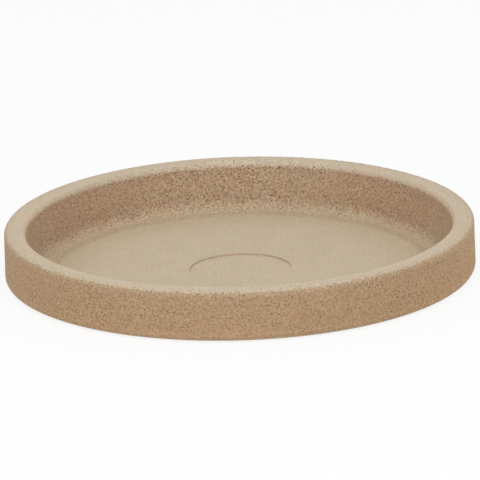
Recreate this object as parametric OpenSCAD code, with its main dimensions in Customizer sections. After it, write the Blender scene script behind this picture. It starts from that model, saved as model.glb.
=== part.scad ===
// Round plant saucer: one thin-walled moulding with a broad flat rim, hollow and ribbed
// underneath, standing on soft feet that are pushed into sockets under the rim.
// The origin is on the ground below the middle of the dish, +Z is up, sizes are in millimetres.

/* [Saucer] */
// Outer diameter at the base, where the saucer is widest
saucer_d = 400; // [320:1:480]
// Height from the ground to the top of the rim
saucer_h = 44.5; // [36:0.5:60]
// Lean of the outer wall from upright, in degrees
outer_lean = 0.4; // [0.2:0.1:3]
// Radius of the outer wall's bottom edge, which turns in below the hollow
base_r = 5; // [4:0.5:8]
// Width of the flat part of the turned-in edge
lip_w = 1; // [0.5:0.5:3]
// Thickness of the moulding's wall
shell_t = 2.8; // [2:0.1:3]

/* [Rim] */
// Width across the top of the rim, from the outer wall to the inner wall
rim_w = 16; // [14:0.5:24]
// Radius of the rim's outer edge
rim_outer_r = 4.5; // [3.5:0.5:7]
// Radius of the rim's inner edge
rim_inner_r = 3.5; // [3.5:0.5:7]

/* [Dish] */
// Lean of the inner wall from upright, in degrees
inner_lean = 23.5; // [10:0.5:28]
// Radius of the cove between the inner wall and the floor
cove_r = 16; // [10:1:20]
// Drop from the cove's edge to the smooth floor
floor_step = 0.2; // [0.2:0.1:0.6]
// Diameter of the round recess in the middle of the floor
recess_d = 87; // [60:1:140]
// Depth of that recess below the floor
recess_depth = 1.6; // [0.4:0.1:2]

/* [Underside] */
// Height of the floor's underside above the bottom edge
floor_lift = 0.4; // [0.2:0.1:1.5]
// Number of ribs between two feet
ribs_per_foot = 3; // [1:1:4]
// Thickness of a rib
rib_t = 2; // [1.5:0.1:3]
// Height of the ribs' lower edges above the bottom edge
rib_lift = 14; // [12:0.5:20]

/* [Feet] */
// How far the feet stand out below the bottom edge
foot_proud = 0.8; // [0.4:0.1:2]
// Diameter of a foot's head
foot_d = 12; // [10.5:0.5:13]
// Thickness of a foot's head
foot_h = 3; // [2.5:0.1:4]
// Radius of the head's lower edge
foot_edge_r = 0.6; // [0.2:0.1:1]
// Gap between a foot's head and the turned-in edge
foot_gap = 1.2; // [0.6:0.1:3]
// Diameter of the stem over its barbs
stem_d = 6.6; // [5:0.1:7]
// Length of the stem
stem_l = 10; // [7:0.5:14]
// Number of barbs on the stem
barb_n = 3; // [2:1:4]
// Depth of the groove below each barb
barb_depth = 0.5; // [0.3:0.1:0.8]
// Clearance round the stem in its socket
socket_clear = 0.1; // [0.05:0.05:0.2]
// Room above the stem's tip in its socket
socket_room = 1; // [0.5:0.5:3]
// Wall of a socket
socket_t = 2; // [1.5:0.1:2.5]
// Height of the closed top of a socket, which is held by a rib
socket_top = 8; // [4:0.5:12]

/* [Hidden] */
$fn = 96;
FEET = 8;

// Levels above the ground
base_z = foot_proud;
under_z = base_z + floor_lift;
cove_z = under_z + shell_t;
floor_z = cove_z - floor_step;
recess_z = floor_z - recess_depth;

// Cuts run this far past the faces that they open
past = 1;

base_rad = saucer_d / 2;

// Radius of the outer face at a height, at a depth inside the moulding's skin
function outer_rad(z, depth = 0) =
    base_rad - (z - base_z) * tan(outer_lean) - depth / cos(outer_lean);

// Radius of the inner wall at a height, at a depth inside the moulding's skin
rim_in_rad = outer_rad(saucer_h) - rim_w;
function inner_rad(z, depth = 0) =
    rim_in_rad - (saucer_h - z) * tan(inner_lean) + depth / cos(inner_lean);

// Middles of the arcs that round the profile, each held by two faces of the skin
base_mid = [outer_rad(base_z + base_r, base_r), base_z + base_r];
rim_out_mid = [outer_rad(saucer_h - rim_outer_r, rim_outer_r), saucer_h - rim_outer_r];
rim_in_mid = [inner_rad(saucer_h - rim_inner_r, rim_inner_r), saucer_h - rim_inner_r];
cove_mid = [inner_rad(cove_z + cove_r, -cove_r), cove_z + cove_r];

// A pad level with the bottom edge backs the recess, so that the floor stays stiff there
pad_rad = recess_d / 2 + shell_t;

// The feet stand in a ring inside the turned-in edge, each in the line of a rib
lip_rad = base_mid.x - lip_w;
foot_ring_r = lip_rad - foot_gap - foot_d / 2;
socket_r = stem_d / 2 + socket_clear;
socket_end = foot_h + stem_l + socket_room;
rib_low = base_z + rib_lift;

// Directions in which the outer and inner walls face
outer_dir = [cos(outer_lean), sin(outer_lean)];
inner_dir = [-cos(inner_lean), sin(inner_lean)];

// Upper and lower ends of the walls at a depth inside the skin, where the arcs take over
function base_side(depth) = base_mid + (base_r - depth) * outer_dir;
function rim_out_side(depth) = rim_out_mid + (rim_outer_r - depth) * outer_dir;
function rim_in_side(depth) = rim_in_mid + (rim_inner_r - depth) * inner_dir;
function cove_side(depth) = cove_mid - (cove_r + depth) * inner_dir;

// Half section of the saucer as if it were solid down to the base
module skin_profile() {
    difference() {
        union() {
            polygon([
                [0, base_z],
                [base_mid.x, base_z],
                base_side(0),
                rim_out_side(0),
                [rim_out_mid.x, saucer_h],
                [rim_in_mid.x, saucer_h],
                rim_in_side(0),
                cove_side(0),
                [cove_mid.x, cove_z],
                [cove_mid.x, floor_z],
                [recess_d / 2, floor_z],
                [recess_d / 2, recess_z],
                [0, recess_z]
            ]);
            translate(base_mid) circle(base_r);
            translate(rim_out_mid) circle(rim_outer_r);
            translate(rim_in_mid) circle(rim_inner_r);
        }
        translate(cove_mid) circle(cove_r);
    }
}

// Half section of the hollow underneath, at a depth inside the skin, with bevelled corners
// and open between the pad and the turned-in edge
module hollow_profile(depth) {
    difference() {
        polygon([
            [pad_rad, base_z - past],
            [lip_rad, base_z - past],
            [lip_rad, base_z + depth],
            [base_mid.x, base_z + depth],
            base_side(depth),
            rim_out_side(depth),
            [rim_out_mid.x, saucer_h - depth],
            [rim_in_mid.x, saucer_h - depth],
            rim_in_side(depth),
            cove_side(depth),
            [cove_mid.x, cove_z - depth],
            [pad_rad, cove_z - depth]
        ]);
        translate(cove_mid) circle(cove_r + depth);
    }
}

// Places its children at each foot's place round the rim
module at_foot(i) {
    rotate([0, 0, 360 * (i - 1) / FEET]) translate([foot_ring_r, 0, 0]) children();
}

// Radial rib that fills the rim's hollow above its lower edge and roots in the walls
module rib() {
    root = shell_t / 2;
    rotate([90, 0, 0]) linear_extrude(rib_t, center = true) intersection() {
        hollow_profile(root);
        translate([cove_mid.x, rib_low]) square([base_rad - cove_mid.x, saucer_h]);
    }
}

// Post for a foot's stem, solid above its bore where the rib runs into it
module socket_post() {
    top = max(socket_end, rib_low) + socket_top;
    translate([0, 0, foot_h]) cylinder(r = socket_r + socket_t, h = top - foot_h);
}

module socket_bore() {
    translate([0, 0, foot_h - past]) cylinder(r = socket_r, h = socket_end - foot_h + past);
}

module saucer_dish() {
    ribs = FEET * ribs_per_foot;
    color([0.76, 0.69, 0.59]) difference() {
        union() {
            rotate_extrude() difference() {
                skin_profile();
                hollow_profile(shell_t);
            }
            for (k = [0 : ribs - 1]) rotate([0, 0, 360 * k / ribs]) rib();
            for (i = [1 : FEET]) at_foot(i) socket_post();
        }
        for (i = [1 : FEET]) at_foot(i) socket_bore();
    }
}

// Half section of a foot: head with a rounded lower edge, and a stem with barbs that taper upwards
module foot_profile() {
    head_r = foot_d / 2;
    barb_r = stem_d / 2;
    groove_r = barb_r - barb_depth;
    barb_l = stem_l / barb_n;
    union() {
        polygon(concat(
            [[0, 0], [head_r - foot_edge_r, 0], [head_r, foot_edge_r], [head_r, foot_h]],
            [for (b = [0 : barb_n - 1], p = [[groove_r, 0], [groove_r, 1 / 3], [barb_r, 1 / 3]])
                [p.x, foot_h + barb_l * (b + p.y)]],
            [[groove_r, foot_h + stem_l], [0, foot_h + stem_l]]
        ));
        translate([head_r - foot_edge_r, foot_edge_r]) circle(foot_edge_r);
    }
}

module foot(i) {
    color([0.2, 0.19, 0.18]) at_foot(i) rotate_extrude() foot_profile();
}

saucer_dish();
for (i = [1 : FEET]) foot(i);
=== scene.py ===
"""Looks of the round plant saucer: stippled sand-coloured walls, smooth rim and floor, rubber feet."""
import math

import bpy
from mathutils import Matrix, Vector


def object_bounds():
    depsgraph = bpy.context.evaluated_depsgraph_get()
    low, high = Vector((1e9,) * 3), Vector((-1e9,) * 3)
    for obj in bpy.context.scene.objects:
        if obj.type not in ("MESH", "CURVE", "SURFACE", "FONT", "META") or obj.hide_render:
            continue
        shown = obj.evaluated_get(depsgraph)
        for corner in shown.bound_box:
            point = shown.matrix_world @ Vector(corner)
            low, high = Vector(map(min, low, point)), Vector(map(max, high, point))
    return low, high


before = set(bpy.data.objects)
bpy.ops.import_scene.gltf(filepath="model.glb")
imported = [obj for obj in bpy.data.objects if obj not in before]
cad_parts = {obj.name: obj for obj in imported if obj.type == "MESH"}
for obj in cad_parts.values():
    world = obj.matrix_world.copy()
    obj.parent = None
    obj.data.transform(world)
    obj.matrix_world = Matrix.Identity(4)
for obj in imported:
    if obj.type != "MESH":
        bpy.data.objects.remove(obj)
cad_low, cad_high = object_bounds()

# Sizes of the saucer in metres, as the solids have them, and the lean of its inner wall
MM = 0.001
RIM_TOP = cad_high.z
OUTER_RADIUS = cad_high.x
INNER_RADIUS = 183.7 * MM
INNER_SLOPE = math.tan(math.radians(23.5))
FLOOR_RADIUS = 155.6 * MM
HALF_WALL = 1.4 * MM

# Radii that part the sides of the moulding: on the flat top of the rim, and on the rounded bottom edge
RIM_MIDDLE = 190.5 * MM
LIP_RADIUS = 195.5 * MM

# Colours as linear values; the side colours of the walls and the floor's edge colour are painted shade
OUTER_SAND = (0.422, 0.272, 0.154)
OUTER_SIDE_SHADE_SAND = (0.419, 0.267, 0.148)
INNER_SAND = (0.415, 0.281, 0.1757)
INNER_SIDE_SHADE_SAND = (0.392, 0.252, 0.154)
FLOOR_SAND = (0.560, 0.455, 0.318)
FLOOR_EDGE_SHADE_SAND = (0.505, 0.400, 0.266)
COVE_SAND = (0.445, 0.333, 0.216)
BORDER_SAND = (0.430, 0.350, 0.240)
RIM_SAND = (0.570, 0.465, 0.339)
MOULDED_SAND = (0.500, 0.370, 0.240)
GRAIN_SAND = (0.226, 0.182, 0.140)
PINK_CAST = (1.018, 0.989, 0.989)
OLIVE_CAST = (0.982, 1.011, 1.011)
RUBBER = (0.035, 0.033, 0.031)
DUSTY_RUBBER = (0.077, 0.0726, 0.0682)
WHITE = (1.0, 1.0, 1.0)
FLOOR_WHITE = (0.92, 0.92, 0.92)

# Noise lies about this middle, and this span of it gives soft patches
NOISE_MIDDLE = 0.5
PATCH_SPAN = (0.3, 0.7)


def opaque(value):
    """A colour of three values gets its fourth, and anything else stays as it is."""
    return (*value, 1) if isinstance(value, tuple) else value


class Graph:
    """A material, with short ways to add nodes to it and join them."""

    def __init__(self, name):
        self.material = bpy.data.materials.new(name)
        self.material.use_nodes = True
        self.tree = self.material.node_tree
        self.shader = self.tree.nodes["Principled BSDF"]

    def put(self, socket, value):
        """Joins an input to another node's output, or sets it to a value."""
        if isinstance(value, bpy.types.NodeSocket):
            self.tree.links.new(value, socket)
        else:
            socket.default_value = value

    def node(self, kind, inputs=None, **settings):
        """A new node with its settings, and its inputs by name or by number."""
        made = self.tree.nodes.new(kind)
        for key, value in settings.items():
            setattr(made, key, value)
        for key, value in (inputs or {}).items():
            self.put(made.inputs[key], value)
        return made

    def surface(self, name, value):
        """Joins or sets an input of the material's own shader."""
        self.put(self.shader.inputs[name], value)

    def math(self, operation, *values):
        return self.node("ShaderNodeMath", dict(enumerate(values)), operation=operation).outputs[0]

    def vector(self, operation, inputs, output="Vector"):
        return self.node("ShaderNodeVectorMath", inputs, operation=operation).outputs[output]

    def inverse(self, value):
        """1 less the value."""
        return self.math("SUBTRACT", 1, value)

    def product(self, first, *others):
        """All the values multiplied."""
        result = first
        for other in others:
            result = self.math("MULTIPLY", result, other)
        return result

    def weighted(self, start, *terms):
        """The start plus each term, a weight and the value that it weighs."""
        result = start
        for weight, value in terms:
            result = self.math("MULTIPLY_ADD", value, weight, result)
        return result

    def smooth_step(self, value, span):
        """0 below the span, 1 above it, smooth between."""
        low, high = span
        inputs = {"Value": value, "From Min": low, "From Max": high}
        return self.node("ShaderNodeMapRange", inputs, interpolation_type="SMOOTHSTEP").outputs["Result"]

    def band(self, value, start, end):
        """1 between two spans, 0 before the first and after the second."""
        return self.math("SUBTRACT", self.smooth_step(value, start), self.smooth_step(value, end))

    def mix(self, share, first, second):
        """The first colour at share 0, the second at share 1; the node's colours go by number."""
        inputs = {0: share, 6: opaque(first), 7: opaque(second)}
        return self.node("ShaderNodeMix", inputs, data_type="RGBA").outputs[2]

    def noise(self, place, size, detail=2.0, roughness=0.5):
        """Noise from 0 to 1 with features of about size metres."""
        inputs = {"Vector": place, "Scale": 1 / size, "Detail": detail, "Roughness": roughness}
        return self.node("ShaderNodeTexNoise", inputs).outputs["Fac"]

    def wander(self, place, size):
        """Noise with its middle at zero, by which a border strays."""
        return self.math("SUBTRACT", self.noise(place, size), NOISE_MIDDLE)

    def patches(self, place, size, detail=2.0):
        """Soft patches from 0 to 1."""
        return self.smooth_step(self.noise(place, size, detail), PATCH_SPAN)

    def bump(self, height, depth, strength=1.0):
        made = self.node("ShaderNodeBump", {"Height": height, "Distance": depth, "Strength": strength})
        self.surface("Normal", made.outputs["Normal"])


# Stipple: grains cut from noise, and pits in the middles of scattered cells
GRAIN_SIZE = 1.7 * MM
GRAIN_FINENESS = 0.6
GRAIN_SPAN = (0.28, 0.72)
PIT_SPACING = 2.4 * MM
PIT_SPAN = (0.10, 0.35)
PIT_MIDDLE = 0.11
PIT_WEIGHT = 0.9


def stipple(g, place):
    """Grains and pits, each about as much above zero as below."""
    grains = g.smooth_step(g.noise(place, GRAIN_SIZE, roughness=GRAIN_FINENESS), GRAIN_SPAN)
    cells = g.node("ShaderNodeTexVoronoi", {"Vector": place, "Scale": 1 / PIT_SPACING, "Randomness": 1.0})
    pits = g.inverse(g.smooth_step(cells.outputs["Distance"], PIT_SPAN))
    return g.math("SUBTRACT", grains, NOISE_MIDDLE), g.math("SUBTRACT", pits, PIT_MIDDLE)


# Land, the smooth top of the rim: its border goes by height, lies higher on the outer side, and is frayed
LAND_BORDER = (RIM_TOP - 6.1 * MM, RIM_TOP - 3.0 * MM)
LAND_OUTER_RISE = 3.55 * MM
LAND_WANDER = 1.6 * MM
LAND_WANDER_SIZE = 5 * MM
LAND_FRAY = 1.2 * MM


def rim_land(g, zones):
    """1 on the smooth top of the rim, 0 elsewhere."""
    wander = g.wander(zones.place, LAND_WANDER_SIZE)
    edge = g.weighted(zones.height, (LAND_WANDER, wander), (LAND_FRAY, zones.grain),
                      (-LAND_OUTER_RISE, zones.outer))
    return g.smooth_step(edge, LAND_BORDER)


# A face counts as turned down where the upward part of its normal is below this
TURNED_DOWN = -0.1


def hidden_side(g, radius, height):
    """1 on the hollow underside of the moulding, 0 on the side that shows."""
    normal = g.node("ShaderNodeNewGeometry").outputs["True Normal"]
    upward = g.node("ShaderNodeSeparateXYZ", {"Vector": normal}).outputs["Z"]
    below = g.product(g.math("LESS_THAN", upward, TURNED_DOWN), g.math("LESS_THAN", radius, LIP_RADIUS))
    inner_wall = g.weighted(INNER_RADIUS + HALF_WALL, (INNER_SLOPE, g.math("SUBTRACT", height, RIM_TOP)))
    within = g.product(g.math("GREATER_THAN", radius, inner_wall),
                       g.math("LESS_THAN", radius, OUTER_RADIUS - HALF_WALL),
                       g.math("LESS_THAN", height, RIM_TOP - HALF_WALL))
    return g.math("MAXIMUM", below, within)


# Spans over which the zones begin: by radius, and at the left and right sides by the part of the radius
# that lies along x
OUTER_START = (RIM_MIDDLE - 3 * MM, RIM_MIDDLE + 3 * MM)
WALLS_START = (FLOOR_RADIUS - 5 * MM, FLOOR_RADIUS + 12 * MM)
FLANKS_START = (0.10, 0.62)
SIDES_START = (0.27, 0.80)
FAR_SIDES_START = (0.88, 0.99)


class Zones:
    """The place of a point on the saucer, the stipple there, and the zones, each from 0 to 1."""

    def __init__(self, g):
        self.place = g.node("ShaderNodeTexCoord").outputs["Object"]
        split = g.node("ShaderNodeSeparateXYZ", {"Vector": self.place}).outputs
        flat = g.node("ShaderNodeCombineXYZ", {"X": split["X"], "Y": split["Y"]}).outputs["Vector"]
        self.radius = g.vector("LENGTH", {0: flat}, "Value")
        self.height = split["Z"]
        self.grains, self.pits = stipple(g, self.place)
        self.grain = g.weighted(self.grains, (-PIT_WEIGHT, self.pits))
        self.outer = g.smooth_step(self.radius, OUTER_START)
        self.walls = g.smooth_step(self.radius, WALLS_START)
        self.land = rim_land(g, self)
        self.hidden = hidden_side(g, self.radius, self.height)
        aside = g.math("DIVIDE", g.math("ABSOLUTE", split["X"]), self.radius)
        self.flanks = g.smooth_step(aside, FLANKS_START)
        self.sides = g.smooth_step(aside, SIDES_START)
        self.far_sides = g.smooth_step(aside, FAR_SIDES_START)


# Tone: pale on the floor, browner towards its edge, painted shade where it runs into the wall, and in the
# cove, then a frayed border to the wall. At the left and right sides the walls are browner and the border
# lies a little lower, both painted shade; at the far sides the border lies higher and the wall is less
# brown again, painted light. The outer wall is paler just below the land.
FLOOR_SHADE_START = (FLOOR_RADIUS - 45 * MM, FLOOR_RADIUS + 8 * MM)
COVE_START = (FLOOR_RADIUS - 2 * MM, FLOOR_RADIUS + 5 * MM)
WALL_BORDER = (FLOOR_RADIUS + 9.5 * MM, FLOOR_RADIUS + 16.5 * MM)
WALL_WANDER = 5 * MM
WALL_WANDER_SIZE = 12 * MM
WALL_FRAY = 2.5 * MM
WALL_SIDE_DROP = 1.0 * MM
WALL_FAR_RISE = 4.2 * MM
FAR_SIDE_SHADE_LOSS = 0.4
BELOW_LAND = (RIM_TOP - 8.5 * MM, RIM_TOP - 2 * MM)
BELOW_LAND_SHARE = 0.3


def tone(g, zones):
    """Colour of each zone before shade and grain."""
    wander = g.wander(zones.place, WALL_WANDER_SIZE)
    # The border's drop at the sides is painted shade, and its rise at the far sides painted light
    border = g.weighted(zones.radius, (WALL_WANDER, wander), (-WALL_FRAY, zones.grain),
                        (WALL_SIDE_DROP, zones.sides), (-WALL_FAR_RISE, zones.far_sides))
    # Painted shade: the walls browner at the left and right sides, less so at the far sides
    side_shade_share = g.product(zones.sides, g.weighted(1, (-FAR_SIDE_SHADE_LOSS, zones.far_sides)))
    inner_wall = g.mix(side_shade_share, INNER_SAND, INNER_SIDE_SHADE_SAND)
    outer_wall = g.mix(zones.sides, OUTER_SAND, OUTER_SIDE_SHADE_SAND)
    below_land = g.product(g.smooth_step(zones.height, BELOW_LAND), zones.outer, BELOW_LAND_SHARE)

    # Painted shade: the floor browns towards the wall
    tint = g.mix(g.smooth_step(zones.radius, FLOOR_SHADE_START), FLOOR_SAND, FLOOR_EDGE_SHADE_SAND)
    tint = g.mix(g.smooth_step(zones.radius, COVE_START), tint, COVE_SAND)
    tint = g.mix(g.smooth_step(border, WALL_BORDER), tint, g.mix(zones.outer, inner_wall, outer_wall))
    tint = g.mix(below_land, tint, BORDER_SAND)
    tint = g.mix(zones.land, tint, RIM_SAND)
    return g.mix(zones.hidden, tint, MOULDED_SAND)


# Relief: strongest on the inner wall, in soft patches, calmer on the flanks of the inner wall and the rim,
# and weakest on the floor and the hidden side. The outer wall and the rim have fainter grains and deeper
# pits.
INNER_STRENGTH = 1.17
OUTER_LOSS = 0.36
OUTER_SIDE_GAIN = 0.10
HIDDEN_LOSS = 0.85
FLANK_LOSS = 0.29
LAND_SIDE_LOSS = 0.45
RELIEF_PATCH_SIZE = 18 * MM
RELIEF_PATCH_START = 0.82
RELIEF_PATCH_GAIN = 0.36
LEAST_STRENGTH = 0.46
OUTER_GRAIN_LOSS = 0.15
LAND_GRAIN_LOSS = 0.20
INNER_PITS = 0.85
OUTER_PIT_GAIN = 0.15
LAND_PIT_GAIN = 0.45


def relief(g, zones):
    """Height of the stipple, which also tints the colour."""
    outer_change = g.product(zones.outer, g.weighted(-OUTER_LOSS, (OUTER_SIDE_GAIN, zones.sides)))
    calm = g.product(zones.flanks, g.math("MAXIMUM", g.inverse(zones.outer), zones.land))
    calm_land = g.product(zones.sides, zones.land)
    patches = g.patches(zones.place, RELIEF_PATCH_SIZE)
    strength = g.product(zones.walls,
                         g.math("ADD", outer_change, INNER_STRENGTH),
                         g.weighted(1, (-HIDDEN_LOSS, zones.hidden)),
                         g.weighted(1, (-FLANK_LOSS, calm)),
                         g.weighted(1, (-LAND_SIDE_LOSS, calm_land)),
                         g.weighted(RELIEF_PATCH_START, (RELIEF_PATCH_GAIN, patches)))
    grains = g.product(zones.grains,
                       g.weighted(1, (-OUTER_GRAIN_LOSS, zones.outer)),
                       g.weighted(1, (-LAND_GRAIN_LOSS, zones.land)))
    pits = g.product(zones.pits,
                     g.weighted(INNER_PITS, (OUTER_PIT_GAIN, zones.outer)),
                     g.weighted(1, (LAND_PIT_GAIN, zones.land)))
    return g.product(g.math("SUBTRACT", grains, pits), g.math("MAXIMUM", strength, LEAST_STRENGTH))


# Shade: soft mottling, darker bands on the inner wall below the rim and above the cove, painted shade in
# the crease at the cove's foot, clearest at the sides, and painted light from the floor that makes the
# bottom edge lighter
PLAIN_SHADE = 0.98
MOTTLE_SIZE = 25 * MM
MOTTLE_DETAIL = 3.0
MOTTLE_GAIN = 0.04
RIM_BAND = (RIM_TOP - 15 * MM, RIM_TOP - 6 * MM)
RIM_BAND_LOSS = 0.03
COVE_BAND_START = (FLOOR_RADIUS + 12.5 * MM, FLOOR_RADIUS + 15.5 * MM)
COVE_BAND_END = (FLOOR_RADIUS + 16.5 * MM, FLOOR_RADIUS + 19 * MM)
COVE_BAND_LOSS = 0.05
COVE_FOOT_START = (FLOOR_RADIUS - 1 * MM, FLOOR_RADIUS + 2.5 * MM)
COVE_FOOT_END = (FLOOR_RADIUS + 4 * MM, FLOOR_RADIUS + 7 * MM)
COVE_FOOT_SHADE_LOSS = 0.03
COVE_FOOT_SIDE_SHADE_LOSS = 0.045
PAINTED_BOTTOM_LIGHT_SPAN = (2 * MM, 13 * MM)
PAINTED_BOTTOM_LIGHT_GAIN = 0.12


def shade(g, zones, mottle):
    """Factor by which the colour is lighter or darker."""
    rim_band = g.product(g.smooth_step(zones.height, RIM_BAND), g.inverse(zones.outer),
                         g.inverse(zones.land))
    cove_band = g.band(zones.radius, COVE_BAND_START, COVE_BAND_END)
    # Painted light from the floor: the bottom edge of the outer wall is lighter
    painted_bottom_light = g.product(g.inverse(g.smooth_step(zones.height, PAINTED_BOTTOM_LIGHT_SPAN)), zones.outer)
    # Painted shade in the crease at the cove's foot, clearest at the sides
    cove_foot_shade = g.product(g.band(zones.radius, COVE_FOOT_START, COVE_FOOT_END),
                          g.weighted(COVE_FOOT_SHADE_LOSS, (COVE_FOOT_SIDE_SHADE_LOSS, zones.sides)))
    lightness = g.weighted(PLAIN_SHADE, (MOTTLE_GAIN, mottle), (-RIM_BAND_LOSS, rim_band),
                           (-COVE_BAND_LOSS, cove_band), (PAINTED_BOTTOM_LIGHT_GAIN, painted_bottom_light))
    return g.math("SUBTRACT", lightness, cove_foot_shade)


# Roughness: the rim, the floor and the hidden side are smoother than the stippled walls
WALL_ROUGHNESS = 0.80
SMOOTH_LOSS = 0.14
MOTTLE_ROUGHENING = 0.06


def roughness(g, zones, mottle):
    """Roughness of the surface."""
    smooth = g.math("MAXIMUM", g.math("MAXIMUM", g.inverse(zones.walls), zones.land), zones.hidden)
    return g.weighted(WALL_ROUGHNESS, (-SMOOTH_LOSS, smooth), (MOTTLE_ROUGHENING, mottle))


# Stone look: patches of a pink and an olive cast, and the depth of the stipple
CAST_SIZE = 9 * MM
STIPPLE_DEPTH = 0.15 * MM


def saucer_material():
    g = Graph("dish_stone_look")
    zones = Zones(g)
    height = relief(g, zones)
    mottle = g.patches(zones.place, MOTTLE_SIZE, MOTTLE_DETAIL)
    cast = g.mix(g.patches(zones.place, CAST_SIZE), PINK_CAST, OLIVE_CAST)

    tint = g.vector("SCALE", {0: tone(g, zones), "Scale": shade(g, zones, mottle)})
    tint = g.vector("MULTIPLY", {0: tint, 1: cast})
    specks = g.vector("SCALE", {0: GRAIN_SAND, "Scale": height})
    g.surface("Base Color", g.vector("ADD", {0: tint, 1: specks}))
    g.surface("Roughness", roughness(g, zones, mottle))
    g.bump(height, STIPPLE_DEPTH)
    return g.material


# Rubber of the feet: fine grain and dusty patches
RUBBER_GRAIN_SIZE = 0.6 * MM
RUBBER_FINENESS = 0.6
RUBBER_DETAIL = 3.0
RUBBER_ROUGHNESS = (0.6, 0.85)
RUBBER_DEPTH = 0.08 * MM
RUBBER_BUMP = 0.6
DUST_SIZE = 6 * MM
DUST_SPAN = (0.4, 0.75)


def rubber_material():
    g = Graph("foot_rubber")
    place = g.node("ShaderNodeTexCoord").outputs["Object"]
    grain = g.noise(place, RUBBER_GRAIN_SIZE, RUBBER_DETAIL, RUBBER_FINENESS)
    dust = g.smooth_step(g.noise(place, DUST_SIZE, RUBBER_DETAIL), DUST_SPAN)
    smoothest, roughest = RUBBER_ROUGHNESS
    rough = g.node("ShaderNodeMapRange", {"Value": grain, "To Min": smoothest, "To Max": roughest})
    g.surface("Base Color", g.mix(dust, RUBBER, DUSTY_RUBBER))
    g.surface("Roughness", rough.outputs["Result"])
    g.bump(grain, RUBBER_DEPTH, RUBBER_BUMP)
    return g.material


def dress(node, material):
    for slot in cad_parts[node].material_slots:
        slot.material = material


dress("saucer_dish", saucer_material())
foot_look = rubber_material()
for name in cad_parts:
    if name.startswith("foot_"):
        dress(name, foot_look)

# Floor: white to the camera, with the saucer's soft shadow kept, a hair below the feet
FLOOR_SIDE = 12.0
FLOOR_LEVEL = -0.2 * MM
FLOOR_ROUGHNESS = 0.9
FLOOR_GLOW = 1.0
FLOOR_GLOW_SHARE = 0.85


def floor_material():
    g = Graph("studio_floor")
    path = g.node("ShaderNodeLightPath").outputs
    seen = g.math("MAXIMUM", path["Is Camera Ray"], path["Is Glossy Ray"])
    seen = g.math("MAXIMUM", seen, path["Is Transmission Ray"])
    g.surface("Base Color", opaque(FLOOR_WHITE))
    g.surface("Roughness", FLOOR_ROUGHNESS)
    glow = g.node("ShaderNodeEmission", {"Color": opaque(WHITE), "Strength": FLOOR_GLOW})
    share = g.product(seen, FLOOR_GLOW_SHARE)
    mixed = g.node("ShaderNodeMixShader", {0: share, 1: g.shader.outputs[0], 2: glow.outputs[0]})
    g.put(g.tree.nodes["Material Output"].inputs["Surface"], mixed.outputs[0])
    return g.material


def make_floor():
    mesh = bpy.data.meshes.new("studio_floor")
    half = FLOOR_SIDE / 2
    corners = [(x * half, y * half, FLOOR_LEVEL) for x, y in ((-1, -1), (1, -1), (1, 1), (-1, 1))]
    mesh.from_pydata(corners, [], [(0, 1, 2, 3)])
    mesh.materials.append(floor_material())
    floor = bpy.data.objects.new("studio_floor", mesh)
    bpy.context.collection.objects.link(floor)


make_floor()

# Light: an even white surround, one broad soft lamp above, and a weak warm fill from far behind each side,
# so low that it hardly touches what faces up. Each fill has its azimuth, power and colour.
WORLD_STRENGTH = 0.59
LAMP_SIDE = 2.5
LAMP_PLACE = Vector((-0.1, -1.4, 2.4))
LAMP_POWER = 42.0
FILL_ELEVATION = math.radians(1.5)
FILL_SPREAD = math.radians(2)
FILLS = {"right_fill": (math.radians(44), 0.54, (1.0, 0.86, 0.57)),
         "left_fill": (math.radians(140), 0.27, (1.0, 0.87, 0.66))}


def place_lamp(lamp, place):
    """Puts a lamp at a place, facing the middle of the saucer."""
    placed = bpy.data.objects.new(lamp.name, lamp)
    placed.location = place
    placed.rotation_euler = (-place).to_track_quat("-Z", "Y").to_euler()
    bpy.context.collection.objects.link(placed)


def make_light():
    world = bpy.data.worlds.new("studio")
    bpy.context.scene.world = world
    world.use_nodes = True
    surround = world.node_tree.nodes["Background"].inputs
    surround["Color"].default_value = opaque(WHITE)
    surround["Strength"].default_value = WORLD_STRENGTH
    lamp = bpy.data.lights.new("soft_box", "AREA")
    lamp.shape = "SQUARE"
    lamp.size = LAMP_SIDE
    lamp.energy = LAMP_POWER
    place_lamp(lamp, LAMP_PLACE)
    for name, (azimuth, power, colour) in FILLS.items():
        fill = bpy.data.lights.new(name, "SUN")
        fill.energy = power
        fill.color = colour
        fill.angle = FILL_SPREAD
        place_lamp(fill, Vector((math.cos(azimuth), math.sin(azimuth), math.tan(FILL_ELEVATION))))


make_light()

# Camera: a long lens from a little above, tipped slightly to one side
CAMERA_DISTANCE = 10.2
CAMERA_ELEVATION = math.radians(16.92)
CAMERA_ROLL = math.radians(1.86)
CAMERA_LENS = 900.0
CAMERA_REACH = 50.0
AIM_RIGHT = 0.4 * MM
AIM_UP = 27.6 * MM


def make_camera():
    back = Vector((0, -math.cos(CAMERA_ELEVATION), math.sin(CAMERA_ELEVATION)))
    right = Vector((1, 0, 0))
    up = back.cross(right)
    turned = Matrix((right, up, back)).transposed() @ Matrix.Rotation(-CAMERA_ROLL, 3, "Z")
    lens = bpy.data.cameras.new("camera")
    lens.lens = CAMERA_LENS
    lens.clip_end = CAMERA_REACH
    camera = bpy.data.objects.new("camera", lens)
    place = CAMERA_DISTANCE * back + AIM_RIGHT * right + AIM_UP * up
    camera.matrix_world = Matrix.Translation(place) @ turned.to_4x4()
    bpy.context.collection.objects.link(camera)
    bpy.context.scene.camera = camera


make_camera()
bpy.context.scene.view_settings.view_transform = "Standard"
